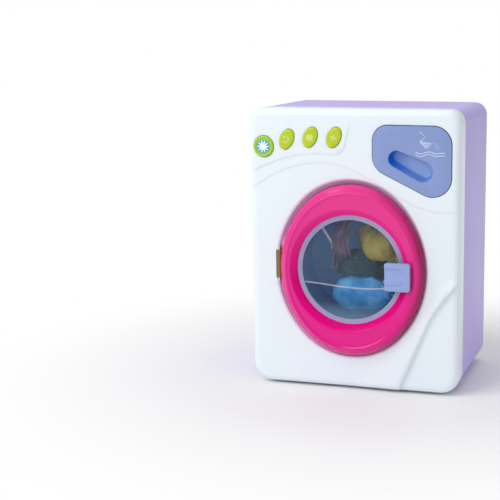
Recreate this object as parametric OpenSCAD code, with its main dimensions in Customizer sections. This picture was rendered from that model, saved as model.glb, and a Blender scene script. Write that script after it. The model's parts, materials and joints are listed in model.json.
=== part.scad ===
// Toy front-loading washing machine: a white front shell on a lavender rear
// shell, a pink door on a side hinge, a motor-driven drum with toy laundry,
// a slide-out dispenser drawer and four push buttons.
// Millimetres. +X is to the right, +Y to the back, +Z up. The origin is on the
// resting plane, in the middle of the whole outline. Inside the modules, y is
// the depth behind the face of the front shell.

/* [Case] */
// Width of the case
body_w = 190; // [170:1:220]
// Height of the case without its feet
body_h = 248; // [240:1:280]
// Depth of the white front shell
shell_d = 18; // [16:0.5:24]
// Depth of the lavender rear shell
rear_d = 114; // [112:1:140]
// Wall thickness of both shells
wall = 2.2; // [1.8:0.1:2.8]
// Corner radius at the top, seen from the front
top_r = 12; // [10:0.5:20]
// Corner radius at the bottom, seen from the front
bottom_r = 17; // [12:0.5:24]
// Rounding between the face and the sides
edge_r = 8; // [6:0.5:9]
// Rounding between the back and the sides
back_edge_r = 5; // [4:0.5:8]
// How far the rear shell is set in at the seam
seam_step = 0.5; // [0.3:0.1:1]
// Width of the lip inside the seam
lip_t = 1.6; // [1.2:0.1:2.4]
// How far the lip reaches into the front shell
lip_l = 4; // [3:0.5:6]
// Height of the rubber feet
foot_h = 2; // [1.5:0.1:4]
// Radius of the rubber feet
foot_r = 7; // [5:0.5:9]

/* [Face relief] */
// Rise of the wide band over the door
band_rise = 0.6; // [0.3:0.1:1]
// Rise of the button panel
panel_rise = 1.2; // [1:0.1:1.6]
// Rise of the wave at the lower right
wave_rise = 0.9; // [0.4:0.1:1.4]

/* [Door] */
// Centre of the door across the face
door_x = -2; // [-4:0.5:0]
// Centre of the door above the resting plane
door_z = 109.5; // [107:0.5:114]
// Half width of the oval door
door_rx = 64; // [62:0.5:65]
// Half height of the oval door
door_rz = 75; // [73:0.5:77]
// Radius of the door's top and bottom arcs
door_arc_r = 57; // [55:0.5:60]
// Band of bare recess round the door
recess_gap = 4; // [3.5:0.1:4.5]
// Depth of the door recess
recess_d = 3; // [2.6:0.1:4]
// How far the ring stands out of the face
ring_rise = 9; // [7:0.5:11]
// Radius of the ring's rolled edge
ring_roll_r = 6; // [4:0.5:6.5]
// Wall thickness of the ring
ring_wall = 2.2; // [1.6:0.1:2.6]
// Radius of the round hole in the ring
ring_hole_r = 48.5; // [46:0.5:49]
// Width of the slope round the hole
ring_slope_w = 5.5; // [4:0.5:6]
// Thickness of the inner frame
frame_t = 2.5; // [2:0.1:3]
// Width of the inner frame that shows in the ring
rim_w = 4.2; // [3:0.1:5]
// Thickness of the upper half of the pane
pane_t = 1.9; // [1.5:0.1:2.2]
// Step down to the lower half of the pane
pane_step = 1.1; // [0.6:0.1:1.3]
// Height of that step above the door's centre
pane_step_z = -13.5; // [-20:0.5:0]
// How far the door opens, in degrees
door_swing = 105; // [60:5:105]

/* [Hinge and latch] */
// Radius of the hinge barrel
barrel_r = 2.1; // [1.9:0.1:2.1]
// Length of the hinge barrel
barrel_l = 25; // [18:1:30]
// Height of the hinge above the door's centre
hinge_up = 2; // [-4:0.5:4]
// Radius of the hinge pin
pin_r = 1; // [0.8:0.1:1.1]
// Running clearance round pins and shafts
run_fit = 0.05; // [0.03:0.01:0.08]
// Width of the handle
handle_w = 24; // [22:0.5:26]
// Height of the handle
handle_h = 27; // [24:0.5:30]
// Thickness of the handle
handle_t = 3.8; // [3.2:0.1:4.5]
// Depth of the thumb hollow
thumb_d = 1.2; // [0.6:0.1:1.6]

/* [Drum] */
// Outer radius of the drum
drum_r = 60; // [58:0.5:62]
// Length of the drum
drum_l = 60; // [54:0.5:61]
// Wall thickness of the drum
drum_wall = 1.6; // [1.2:0.1:2]
// Radius of the drum's mouth
mouth_r = 51; // [50:0.5:52]
// Reach of the two lifter fins
fin_l = 34; // [16:1:36]
// Thickness of the fins
fin_t = 2; // [1.5:0.1:3]
// Radius of the drum shaft
shaft_r = 3; // [2.5:0.1:3.5]

/* [Gear train] */
// Tooth module
gear_m = 1; // [0.9:0.05:1.05]
// Teeth of the drum gear
drum_teeth = 48; // [42:2:50]
// Teeth of the idler's small wheel
small_teeth = 12; // [12:1:14]
// Teeth of the idler's large wheel
large_teeth = 36; // [32:1:38]
// Teeth of the motor pinion
pinion_teeth = 10; // [10:1:12]
// Width of the gear faces
gear_w = 4.5; // [3.5:0.1:5]
// Play between two flanks
backlash = 0.5; // [0.3:0.05:0.6]
// Radius of the motor can
motor_r = 10; // [9:0.5:11]
// Length of the motor can
motor_l = 25; // [20:0.5:28]

/* [Buttons] */
// Half width of an oval button
button_rx = 6; // [5.5:0.1:6.5]
// Half height of an oval button
button_rz = 9.2; // [8.5:0.1:9.5]
// Lean of the oval buttons, in degrees
button_lean = 25; // [0:1:30]
// Radius of the round lamp button
lamp_r = 9.2; // [8.5:0.1:9.4]
// Gap round each button
button_gap = 0.3; // [0.2:0.05:0.4]
// How far the buttons stand out
button_rise = 1.6; // [1:0.1:2]
// Travel of the buttons
button_travel = 1.6; // [1:0.1:1.6]
// Depth of the front of the circuit board
board_y = 13; // [12.8:0.1:14]

/* [Drawer] */
// Gap round the drawer front
drawer_gap = 0.5; // [0.3:0.05:0.8]
// Thickness of the drawer front
drawer_t = 2.8; // [2.2:0.1:3.2]
// Depth of the finger hollow
hollow_d = 7; // [5:0.5:7.5]
// Length of the tray behind the front
tray_l = 52; // [44:1:54]
// Wall thickness of the tray
tray_wall = 1.6; // [1.2:0.1:2]
// Sliding gap between tray and housing
slide_gap = 0.4; // [0.3:0.05:0.6]
// How far the drawer pulls out
drawer_travel = 36; // [20:1:40]

/* [Power] */
// Radius of a battery
cell_r = 7.1; // [7:0.05:7.25]
// Length of a battery
cell_l = 49.5; // [49:0.1:50]
// Number of batteries
cells = 3; // [2:1:3]
// Radius of the speaker
speaker_r = 18; // [14:0.5:20]

/* [Hidden] */
$fn = 64;

total_d = shell_d + rear_d;
door_proud = ring_rise + 0.2 + handle_t;
face_y = (door_proud - total_d) / 2;
case_top = foot_h + body_h;
left = -body_w / 2;
right = body_w / 2;
past = 1;
free = 0.4;
hair = 0.2;

// Oval outlines are given as half width, half height and the radius of the top
// and bottom arcs; the side arcs follow from these
door_oval = [door_rx, door_rz, door_arc_r];
recess_oval = [for (v = door_oval) v + recess_gap];
button_oval = [button_rx, button_rz, 4.6];

function end_rise(o) = o[1] - o[2];
function side_shift(o) = (pow(end_rise(o), 2) - pow(o[0] - o[2], 2)) / (2 * (o[0] - o[2]));
function side_r(o) = o[0] + side_shift(o);
function join_angle(o) = atan(end_rise(o) / side_shift(o));

// The two limits of a span of half width h round c
function around(c, h) = [c - h, c + h];

// Curves of the face relief, as heights or widths in the plane of the face
function ease(t) = let (c = min(1, max(0, t))) c * c * (3 - 2 * c);
function band_z(x) = let (v = x - left) v < 65 ? case_top - 47.3 - 19.9 * pow((v - 65) / 57, 2)
    : case_top - 87 + 39.7 * (1 - ease((v - 71) / 102));
function panel_z(x) = case_top - 39 - 15.3 * pow((x - left - 65) / 58, 2);
function wave_x(z) = right - 54.5 + 0.42 * z + (z > 60 ? 0.0063 * pow(z - 60, 2) : 0);
function wave_w(z) = 42 * pow(1 - min(1, z / 112), 2) + 9;

front_y = -door_proud;
ring_back_y = 1;
frame_front_y = ring_back_y - frame_t;
pane_r = ring_hole_r - rim_w;
hinge_x = door_x - door_rx - 2.5;
hinge_y = ring_back_y;
hinge_z = door_z + hinge_up;
leaf_t = 1.4;
pin_hole_r = pin_r + run_fit;
ear_l = 3.5;
ear_gap = 0.3;
stake_r = 1.5;
door_screw_at = [26, door_rz - 16.5];
door_boss_r = 2.8;
handle_x = door_x + 32;
handle_z = door_z - 3.5;
neck = [handle_x + 12.6, handle_x + 20];
neck_h = 16;
tongue_x = door_x + door_rx - 7.7;
tongue_t = 2.9;
tongue_h = 8;
tongue_y = 8;

collar_y = 10;
drum_y = collar_y + 1.2;
drum_back_y = drum_y + drum_l;
drum_in_r = drum_r - drum_wall;
fin_angles = [123, 303];
fin_y = drum_y + 15;
fin_off = 11.2;
fin_end = sqrt(pow(drum_in_r + drum_wall / 2, 2) - pow(fin_off + fin_t / 2, 2));
hub_r = 9;

gap_y = 1.5;
plate_t = 2.5;
plate_y = drum_back_y + 7;
stage_1 = plate_y + plate_t + gap_y;
stage_2 = stage_1 + gear_w + gap_y;
cover_in_y = stage_2 + gear_w + gap_y;
cover_y = cover_in_y + plate_t;
rear_in_y = total_d - wall;
small_step = gear_m * (drum_teeth + small_teeth) / 2 + 0.1;
large_step = gear_m * (large_teeth + pinion_teeth) / 2 + 0.1;
idler_angle = 60;
motor_angle = 0;
idler_x = door_x + small_step * cos(idler_angle);
idler_z = door_z + small_step * sin(idler_angle);
motor_x = idler_x + large_step * cos(motor_angle);
motor_z = idler_z + large_step * sin(motor_angle);
axle_r = 1.5;
motor_shaft_r = 1;
box_wall = 2;
box_left = door_x - gear_m * drum_teeth / 2 - 6;
box_right = motor_x + motor_r + 6;
box_low = door_z - gear_m * drum_teeth / 2 - 6;
box_high = idler_z + gear_m * large_teeth / 2 + 5;
post_r = 3.5;
post_in = 5;
gearbox_posts = [[box_left + post_in, box_low + post_in], [box_right - post_in, box_low + post_in],
    [box_left + post_in, box_high - post_in], [box_right - post_in, box_high - post_in]];
screw_r = 1.45;
screw_hole_r = screw_r + run_fit;
head_r = 2.8;
head_t = 1.6;

case_posts = [[left + 11, foot_h + 22], [right - 11, foot_h + 22], [left + 11, case_top - 90],
    [right - 11, case_top - 90], [right - 87.5, case_top - 9]];
case_post_r = 4;
well_r = 5;
well_y = 31;

button_at = [[left + 35.8, case_top - 27.1], [left + 57.2, case_top - 25.1], [left + 78.7, case_top - 24.8]];
lamp_at = [left + 14.2, case_top - 33.8];
flange_w = 1.4;
flange_y = wall + free;
flange_t = 1.2;
stem_r = 2.2;
switch_y = board_y - 2.7;
stem_y = switch_y - button_travel - 0.3;
board_x = [left + 5, left + 91];
board_z = [case_top - 46, case_top - 13];
board_t = 1.6;
board_post_r = 2.2;
board_posts = [[left + 25.4, case_top - 18], [left + 46.5, case_top - 42], [left + 68, case_top - 18],
    [left + 25.4, case_top - 42.5]];

drawer_corners = [[right - 63.9, case_top - 26.7, 13], [right - 60.5, case_top - 40, 16.4],
    [right - 24.5, case_top - 57.3, 16.5], [right - 24, case_top - 29.8, 16]];
drawer_front_y = -1;
drawer_back_y = drawer_front_y + drawer_t;
hollow_ends = [[right - 56, case_top - 42, 7.2], [right - 33, case_top - 52.5, 9]];
hollow_wall = 1.2;
tray_x = [right - 67, right - 15];
tray_z = [case_top - 50, case_top - 20];
tray_y = drawer_front_y + hollow_d + hollow_wall;
housing_y = tray_y + 2;
housing_t = 2;
housing_end_y = drawer_back_y + tray_l + 4;
housing_posts = [[right - 79.5, case_top - 10], [right - 6.5, case_top - 14], [right - 6.5, case_top - 75],
    [right - 71, case_top - 59]];
housing_flange = [for (p = [[83, 6], [83, 54], [61, 73], [35, 78.5], [3, 78.5], [3, 12], [8, 6]])
    [right - p[0], case_top - p[1]]];

speaker_at = [left + 43, case_top - 50];
speaker_t = 7;
magnet_r = 10;
magnet_t = 8;

cell_gap = 1.2;
cell_pitch = 2 * cell_r + cell_gap;
bay_w = cell_l + 12;
bay_low = 12;
bay_h = cells * cell_pitch + 12;
bay_d = 20;
bay_wall = 2;
bay_y = rear_in_y - bay_d;
hatch_ledge = 1.2;
hatch_gap = 0.3;
hatch_t = 2;
cell_z = [for (k = [0:cells - 1]) bay_low + 2 + cell_r + k * cell_pitch];
cell_y = rear_in_y - bay_d + 1 + cell_r;
foot_at = [for (y = [shell_d + 12, total_d - 16], x = [left + 23, right - 23]) [x, y]];

white = [0.94, 0.96, 0.98];
lavender = [0.66, 0.61, 0.80];
pink = [0.92, 0.18, 0.56];
periwinkle = [0.53, 0.61, 0.83];
pale_blue = [0.60, 0.66, 0.85];
lime = [0.72, 0.80, 0.10];
slate = [0.33, 0.40, 0.50];
olive = [0.48, 0.42, 0.12];
steel = [0.72, 0.73, 0.75];
brass = [0.80, 0.66, 0.32];
nylon = [0.90, 0.88, 0.80];
dark = [0.15, 0.15, 0.17];
grey = [0.60, 0.62, 0.65];

// Puts the depth behind the face into the frame of the whole toy
module set() translate([0, face_y, 0]) children();

// Fills an outline in x and z from depth y0 to depth y1
module slab(y0, y1) translate([0, y1, 0]) rotate([90, 0, 0]) linear_extrude(y1 - y0) children();

// A round bar along the depth
module rod(r, y0, y1, at = [0, 0]) translate([at[0], y1, at[1]]) rotate([90, 0, 0]) cylinder(r = r, h = y1 - y0);

// A round bar along the depth with radius ra at y0 and rb at y1
module taper(ra, rb, y0, y1, at = [0, 0])
    translate([at[0], y1, at[1]]) rotate([90, 0, 0]) cylinder(r1 = rb, r2 = ra, h = y1 - y0);

// A box between two corners
module block(x, y, z) translate([x[0], y[0], z[0]]) cube([x[1] - x[0], y[1] - y[0], z[1] - z[0]]);

// Half section of a shell with its outer front corner rounded
module edge_section(l, d, r) {
    translate([0, r]) square([l, d - r]);
    square([l - r, d]);
    intersection() {
        translate([l - r, r]) circle(r);
        translate([l - r, 0]) square(r);
    }
}

// The case outline seen from the front, set in by i
module case_outline(i = 0) {
    w = body_w / 2 - i;
    rt = top_r - i;
    rb = bottom_r - i;
    low = foot_h + i;
    high = case_top - i;
    translate([-w, low + rb]) square([2 * w, high - low - rt - rb]);
    translate([rb - w, low]) square([2 * (w - rb), rb]);
    translate([rt - w, high - rt]) square([2 * (w - rt), rt]);
    for (s = [-1, 1]) {
        translate([s * (w - rb), low + rb]) circle(rb);
        translate([s * (w - rt), high - rt]) circle(rt);
    }
}

// The case outline, set in by i, as a solid of depth d with a rounded front edge
module pan(i, d, r) {
    w = body_w / 2 - i;
    rt = top_r - i;
    rb = bottom_r - i;
    low = foot_h + i;
    high = case_top - i;
    translate([0, 0, low + rb]) linear_extrude(high - low - rt - rb) {
        edge_section(w, d, r);
        mirror([1, 0]) edge_section(w, d, r);
    }
    translate([w - rt, 0, high - rt]) rotate([0, -90, 0]) linear_extrude(2 * (w - rt)) edge_section(rt, d, r);
    translate([w - rb, 0, low + rb]) mirror([0, 0, 1]) rotate([0, -90, 0])
        linear_extrude(2 * (w - rb)) edge_section(rb, d, r);
    for (s = [0, 1]) mirror([s, 0, 0]) {
        translate([w - rt, 0, high - rt]) rotate([-90, 0, 0]) rotate([0, 0, -90])
            rotate_extrude(angle = 90) edge_section(rt, d, r);
        translate([w - rb, 0, low + rb]) rotate([-90, 0, 0]) rotate_extrude(angle = 90) edge_section(rb, d, r);
    }
}

// An oval outline made of four finely stepped arcs, set in by i
module oval(o, i = 0) {
    a = join_angle(o);
    function arc(c, r, from, to) = let (n = ceil((to - from) / 5)) [for (k = [0:n - 1])
        c + (r - i) * [cos(from + (to - from) * k / n), sin(from + (to - from) * k / n)]];
    polygon(concat(arc([-side_shift(o), 0], side_r(o), -a, a), arc([0, end_rise(o)], o[2], a, 180 - a),
        arc([side_shift(o), 0], side_r(o), 180 - a, 180 + a), arc([0, -end_rise(o)], o[2], 180 + a, 360 - a)));
}

// Turns a section round each arc of an oval; the section reads $arc, the arc's
// radius. The end arcs run a little past the side arcs, a hair inside them
module oval_turn(o) {
    e = end_rise(o);
    s = side_shift(o);
    a = join_angle(o);
    for (k = [0, 1]) {
        mirror([0, 0, k]) translate([0, 0, e]) rotate([-90, 0, 0]) rotate([0, 0, a - 183])
            rotate_extrude(angle = 186 - 2 * a) let ($arc = o[2] - hair) children();
        mirror([k, 0, 0]) translate([-s, 0, 0]) rotate([-90, 0, 0]) rotate([0, 0, -a])
            rotate_extrude(angle = 2 * a) let ($arc = side_r(o)) children();
    }
}

// The outline round a ring of circles [x, z, r], given in turning order, grown by g
module round_outline(c, g = 0) {
    n = len(c);
    turn = sum_cross(c) < 0 ? -1 : 1;
    out = [for (k = [0:n - 1]) let (p = c[k], q = c[(k + 1) % n], d = [q[0] - p[0], q[1] - p[1]])
        atan2(d[1], d[0]) - turn * acos((p[2] - q[2]) / norm(d))];
    polygon([for (k = [0:n - 1]) let (a = out[(k + n - 1) % n], t = turn * (out[k] - a), sweep = (t % 360 + 360) % 360,
        steps = ceil(sweep / 7)) for (j = [0:steps]) let (b = a + turn * sweep * j / steps)
        [c[k][0], c[k][1]] + (c[k][2] + g) * [cos(b), sin(b)]]);
}
function sum_cross(c, k = 0) = k == len(c) ? 0
    : let (p = c[k], q = c[(k + 1) % len(c)]) p[0] * q[1] - p[1] * q[0] + sum_cross(c, k + 1);

// A rectangle with round corners
module round_rect(x, z, r) {
    translate([x[0] + r, z[0]]) square([x[1] - x[0] - 2 * r, z[1] - z[0]]);
    translate([x[0], z[0] + r]) square([x[1] - x[0], z[1] - z[0] - 2 * r]);
    for (a = [x[0] + r, x[1] - r], b = [z[0] + r, z[1] - r]) translate([a, b]) circle(r);
}

// An involute gear outline with thinned teeth, one of them centred at the angle phase
module gear_outline(teeth, phase) {
    r = gear_m * teeth / 2;
    base = r * cos(20);
    tip = r + 0.8 * gear_m;
    root = r - 1.15 * gear_m;
    low = max(base, root);
    half = 90 / teeth - backlash / 4 / r * 180 / PI;
    function inv(a) = tan(a) * 180 / PI - a;
    function lean(q) = half + inv(20) - inv(acos(min(1, base / q)));
    radii = [for (k = [0:3]) low + (tip - low) * k / 3];
    side = concat([[root, lean(low)]], [for (q = radii) [q, lean(q)]]);
    back = [for (k = [len(side) - 1:-1:0]) side[k]];
    polygon([for (k = [0:teeth - 1]) let (c = phase + k * 360 / teeth)
        each concat([for (p = side) p[0] * [cos(c - p[1]), sin(c - p[1])]],
            [for (p = back) p[0] * [cos(c + p[1]), sin(c + p[1])]])]);
}

// A screw that points to the front, with its head on the depth y
module screw(at, y, l, r = screw_r) {
    rod(head_r, y, y + head_t, at);
    rod(r, y - l, y + past / 2, at);
}

// A crumpled heap of cloth with waves in its surface
module heap(at, size, waves, turn) {
    rings = 9;
    sides = 14;
    function wave(u, v) = 1 - 0.10 * (1 + sin(waves * v + turn)) - 0.06 * (1 + sin(3 * u + 2 * v + turn));
    pts = concat([at + [0, 0, -size[2] * wave(-90, 0)]],
        [for (i = [1:rings - 1], j = [0:sides - 1]) let (u = -90 + 180 * i / rings, v = 360 * j / sides)
            at + wave(u, v) * [size[0] * cos(u) * cos(v), size[1] * cos(u) * sin(v), size[2] * sin(u)]],
        [at + [0, 0, size[2] * wave(90, 0)]]);
    last = len(pts) - 1;
    function id(i, j) = 1 + (i - 1) * sides + j % sides;
    polyhedron(pts, concat(
        [for (j = [0:sides - 1]) [0, id(1, j), id(1, j + 1)]],
        [for (i = [1:rings - 2], j = [0:sides - 1]) each
            [[id(i, j), id(i + 1, j), id(i + 1, j + 1)], [id(i, j), id(i + 1, j + 1), id(i, j + 1)]]],
        [for (j = [0:sides - 1]) [last, id(rings - 1, j + 1), id(rings - 1, j)]]));
}

module at_door() translate([door_x, 0, door_z]) children();
module lean_button(k) translate([button_at[k][0], 0, button_at[k][1]]) rotate([0, button_lean, 0]) children();

module band_area() polygon(concat([for (x = [left - 5:5:right + 5]) [x, band_z(x)]],
    [[right + 5, case_top + 10], [left - 5, case_top + 10]]));
module panel_area() difference() {
    polygon(concat([for (x = [left - 5:4:left + 91]) [x, panel_z(x)]],
        [[left + 91, case_top - 10], [left - 5, case_top - 10]]));
    difference() {
        translate([left + 86, case_top - 45]) square([6, 10]);
        translate([left + 86, case_top - 35]) circle(5);
    }
}
module wave_area() polygon(concat([for (z = [-2:4:102]) [wave_x(z), z]],
    [for (z = [102:-4:-2]) [wave_x(z) - wave_w(z), z]]));

// A raised area of the face that keeps the rounded edge of the case
module raised(rise) intersection() {
    translate([0, -rise, 0]) pan(0, shell_d / 2, edge_r);
    slab(-rise, wall) children();
}

module front_shell() color(white) difference() {
    union() {
        difference() {
            union() {
                pan(0, shell_d, edge_r);
                raised(band_rise) band_area();
                raised(panel_rise) panel_area();
                raised(wave_rise) wave_area();
            }
            translate([0, wall, 0]) pan(wall, shell_d, edge_r - wall);
        }
        at_door() {
            slab(wall / 2, recess_d + wall) oval(recess_oval, -wall);
            rod(mouth_r + wall, recess_d, collar_y);
        }
        hinge_cup(wall);
        for (p = case_posts) rod(case_post_r, wall / 2, well_y - 0.3, p);
        for (p = board_posts) rod(board_post_r, wall / 2, board_y, p);
        for (p = housing_posts) rod(board_post_r, wall / 2, housing_y, p);
    }
    at_door() {
        slab(-past - panel_rise, recess_d) oval(recess_oval);
        rod(mouth_r, 0, collar_y + past);
    }
    difference() {
        hinge_cup(0);
        ears();
    }
    rod_z(pin_hole_r, hinge_z - barrel_l / 2 - ear_l, hinge_z + barrel_l / 2 + ear_l);
    block([tongue_x - 1, tongue_x + tongue_t + 1], [0, recess_d + wall + past],
        around(handle_z, tongue_h / 2 + 1));
    for (p = case_posts) rod(screw_hole_r, well_y - 14, well_y + past, p);
    for (p = board_posts) rod(1.05, board_y - 7, board_y + past, p);
    for (p = housing_posts) rod(1.05, housing_y - 6, housing_y + past, p);
    slab(-past - panel_rise, wall + past) round_outline(drawer_corners, drawer_gap);
    for (k = [0:2]) lean_button(k) slab(-past - panel_rise, wall + past) oval(button_oval, -button_gap);
    rod(lamp_r + button_gap, -past - panel_rise, wall + 3, lamp_at);
}

// An upright round bar on the hinge axis
module rod_z(r, z0, z1) translate([hinge_x, hinge_y, z0]) cylinder(r = r, h = z1 - z0);

// The pocket behind the hinge, grown by g
module hinge_cup(g) block([hinge_x - barrel_r - 0.6 - g, hinge_x + barrel_r + 1.8 + g],
    [g > 0 ? wall / 2 : -past, hinge_y + barrel_r + 0.9 + g],
    around(hinge_z, barrel_l / 2 + ear_l + g));

// The two ears that hold the hinge pin
module ears() for (s = [-1, 1]) {
    z = s > 0 ? [hinge_z + barrel_l / 2 + ear_gap, hinge_z + barrel_l / 2 + ear_l + past]
        : [hinge_z - barrel_l / 2 - ear_l - past, hinge_z - barrel_l / 2 - ear_gap];
    rod_z(barrel_r, z[0], z[1]);
    block([hinge_x - barrel_r, hinge_x + barrel_r - 0.4], [hinge_y, hinge_y + barrel_r + 2], z);
}

module rear_shell() color(lavender) difference() {
    union() {
        difference() {
            translate([0, total_d, 0]) mirror([0, 1, 0]) pan(seam_step, rear_d, back_edge_r);
            translate([0, rear_in_y, 0]) mirror([0, 1, 0])
                pan(seam_step + wall, rear_d, back_edge_r - wall);
        }
        slab(shell_d - lip_l, shell_d + lip_l) difference() {
            case_outline(wall + 0.25);
            case_outline(wall + 0.25 + lip_t);
        }
        for (p = case_posts) rod(well_r, well_y, rear_in_y + past, p);
        for (p = gearbox_posts) rod(post_r, cover_y, rear_in_y + past, p);
        rod(speaker_r + 2.4, rear_in_y - 5, rear_in_y + past, speaker_at);
    }
    for (p = case_posts) {
        rod(head_r + 0.5, well_y + 3, total_d + past, p);
        rod(screw_hole_r, well_y - past, well_y + 4, p);
    }
    for (p = gearbox_posts) rod(screw_hole_r, cover_y - past, cover_y + 12, p);
    rod(speaker_r + 0.3, rear_in_y - 6, rear_in_y, speaker_at);
    for (k = [0:2], j = [0:max(0, 6 * k - 1)]) rod(1.5, rear_in_y - past, total_d + past,
        speaker_at + 5 * k * [cos(60 * j / max(1, k)), sin(60 * j / max(1, k))]);
    slab(rear_in_y - past, total_d + past)
        round_rect([-hatch_w / 2, hatch_w / 2], [hatch_low, hatch_low + hatch_h], 3);
    for (k = [0:4]) slab(total_d - 1, total_d + past)
        round_rect([left + 39, right - 39], [foot_h + 84 + 9 * k, foot_h + 87.2 + 9 * k], 1.4);
    for (p = foot_at) translate([p[0], p[1], 0]) cylinder(r = 2.1, h = foot_h + seam_step + wall + past);
    for (p = foot_at) translate([p[0], p[1], 0]) cylinder(r = foot_r + 0.3, h = foot_h + seam_step + 0.4);
}
hatch_w = bay_w + 2 * hatch_ledge;
hatch_low = bay_low - hatch_ledge;
hatch_h = bay_h + 2 * hatch_ledge;

module rubber_feet() color(dark) for (p = foot_at) translate([p[0], p[1], 0]) {
    cylinder(r = foot_r, h = foot_h + seam_step + 0.4);
    cylinder(r = 2, h = foot_h + seam_step + wall);
    translate([0, 0, foot_h + seam_step + wall]) cylinder(r = 2.8, h = 1.2);
}

module case_screws() color(steel) for (p = case_posts) screw(p, well_y + 3, 14);

module door_ring() color(pink) at_door() difference() {
    translate([0, -ring_rise, 0]) oval_turn(door_oval)
        edge_section($arc, ring_rise + ring_back_y + past, ring_roll_r);
    difference() {
        translate([0, ring_wall - ring_rise, 0]) oval_turn(door_oval)
            edge_section($arc - ring_wall, ring_rise + ring_back_y + 2 * past, ring_roll_r - ring_wall);
        taper(ring_hole_r + ring_slope_w + ring_wall, ring_hole_r + ring_wall, -ring_rise, frame_front_y);
        for (x = [-1, 1], z = [-1, 1])
            rod(door_boss_r, -ring_rise, frame_front_y, [x * door_screw_at[0], z * door_screw_at[1]]);
    }
    block([-100, 100], [ring_back_y, ring_back_y + 4 * past], [-100, 100]);
    taper(ring_hole_r + ring_slope_w, ring_hole_r, -ring_rise, frame_front_y);
    rod(ring_hole_r, frame_front_y - 0.01, ring_back_y + past);
    rod(ring_hole_r + ring_slope_w, -ring_rise - past, -ring_rise);
    for (x = [-1, 1], z = [-1, 1])
        rod(1.05, 1.5 - ring_rise + ring_wall, frame_front_y + past, [x * door_screw_at[0], z * door_screw_at[1]]);
    translate([-door_x, 0, -door_z]) block([neck[0] - 0.2, neck[1] + 0.2], [-ring_rise + 0.01, ring_back_y + past],
        around(handle_z, neck_h / 2 + 0.2));
}

module door_frame() color(lavender) {
    difference() {
        union() {
            at_door() slab(frame_front_y, ring_back_y) oval(door_oval, ring_wall + 0.3);
            block([tongue_x, tongue_x + tongue_t], [ring_back_y - past, tongue_y],
                around(handle_z, tongue_h / 2));
            for (s = [-1, 1]) rod(stake_r, 0, ring_back_y + leaf_t, [hinge_x + 9.5, hinge_z + s * 7]);
        }
        at_door() rod(pane_r, frame_front_y - past, ring_back_y + past);
        at_door() for (x = [-1, 1], z = [-1, 1]) rod(1.15, frame_front_y - past, ring_back_y + past,
            [x * door_screw_at[0], z * door_screw_at[1]]);
    }
}

module door_window() color([0.55, 0.62, 0.72, 0.5]) at_door() {
    difference() {
        rod(pane_r - 0.15, ring_back_y - pane_t, ring_back_y);
        slab(ring_back_y - pane_t - past, ring_back_y - pane_t + pane_step)
            translate([-pane_r, pane_step_z - 2 * pane_r]) square(2 * pane_r);
    }
    rod(pane_r + 2.6, ring_back_y, ring_back_y + 1.4);
}

module door_handle() color(pale_blue) {
    plate_back = -ring_rise - 0.2;
    difference() {
        slab(front_y, plate_back)
            round_rect([handle_x, handle_x + handle_w], around(handle_z, handle_h / 2), 2.5);
        slab(front_y - past, front_y + thumb_d) {
            translate([handle_x - past, handle_z - 8.5]) square([12 + past, 17]);
            translate([handle_x + 11.5, handle_z]) circle(8.5);
        }
    }
    block(neck, [plate_back - past, frame_front_y], around(handle_z, neck_h / 2));
}

module door_hinge() color(olive) difference() {
    union() {
        rod_z(barrel_r, hinge_z - barrel_l / 2, hinge_z + barrel_l / 2);
        block([hinge_x, hinge_x + 13], [ring_back_y, ring_back_y + leaf_t],
            around(hinge_z, barrel_l / 2));
    }
    rod_z(pin_hole_r, hinge_z - barrel_l, hinge_z + barrel_l);
    for (s = [-1, 1]) rod(stake_r + 0.1, ring_back_y - past, ring_back_y + leaf_t + past,
        [hinge_x + 9.5, hinge_z + s * 7]);
}

module hinge_pin() color(steel) rod_z(pin_r, hinge_z - barrel_l / 2 - ear_l + 0.2, hinge_z + barrel_l / 2 + ear_l - 0.2);

module door_screws() color(steel) at_door() for (x = [-1, 1], z = [-1, 1]) {
    p = [x * door_screw_at[0], z * door_screw_at[1]];
    rod(2.2, ring_back_y, ring_back_y + 1.2, p);
    rod(1, 2 - ring_rise + ring_wall, ring_back_y + 0.5, p);
}

module drum() color(slate) at_door() {
    difference() {
        union() {
            rod(drum_r, drum_y, drum_back_y);
            rod(hub_r, drum_back_y - past, drum_back_y + 5);
        }
        rod(drum_in_r, drum_y + drum_wall, drum_back_y - drum_wall);
        rod(mouth_r + 1, drum_y - past, drum_y + drum_wall + past);
        rod(shaft_r + 0.01, drum_back_y - 2 * drum_wall, drum_back_y + 6);
    }
    for (a = fin_angles) rotate([0, -a, 0]) {
        block([drum_in_r - fin_l, fin_end], [fin_y, drum_back_y - drum_wall / 2],
            around(fin_off, fin_t / 2));
        block([drum_in_r - fin_l, drum_in_r - fin_l + fin_t], [fin_y, drum_back_y - drum_wall / 2],
            [fin_off - fin_t / 2, fin_off + fin_t / 2 + 2]);
    }
}

module drum_shaft() color(steel) at_door() rod(shaft_r, drum_back_y - drum_wall, cover_y + 3);

module drum_gear() color(nylon) at_door() difference() {
    union() {
        slab(stage_1, stage_1 + gear_w) gear_outline(drum_teeth, idler_angle);
        rod(hub_r - 2, stage_1, stage_2 + gear_w);
    }
    rod(shaft_r + 0.01, stage_1 - past, cover_in_y);
    for (k = [0:4]) rod(5, stage_1 - past, stage_1 + gear_w + past, 14.5 * [cos(72 * k), sin(72 * k)]);
}

module bush(y0, y1, flange_at) color(brass) at_door() difference() {
    union() {
        rod(shaft_r + 2, y0, y1);
        rod(shaft_r + 3.5, flange_at, flange_at + 1);
    }
    rod(shaft_r + run_fit, y0 - past, y1 + past);
}
module drum_bush_front() bush(plate_y, plate_y + plate_t, plate_y - 1);
module drum_bush_rear() bush(cover_in_y, cover_y, cover_y);

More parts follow.
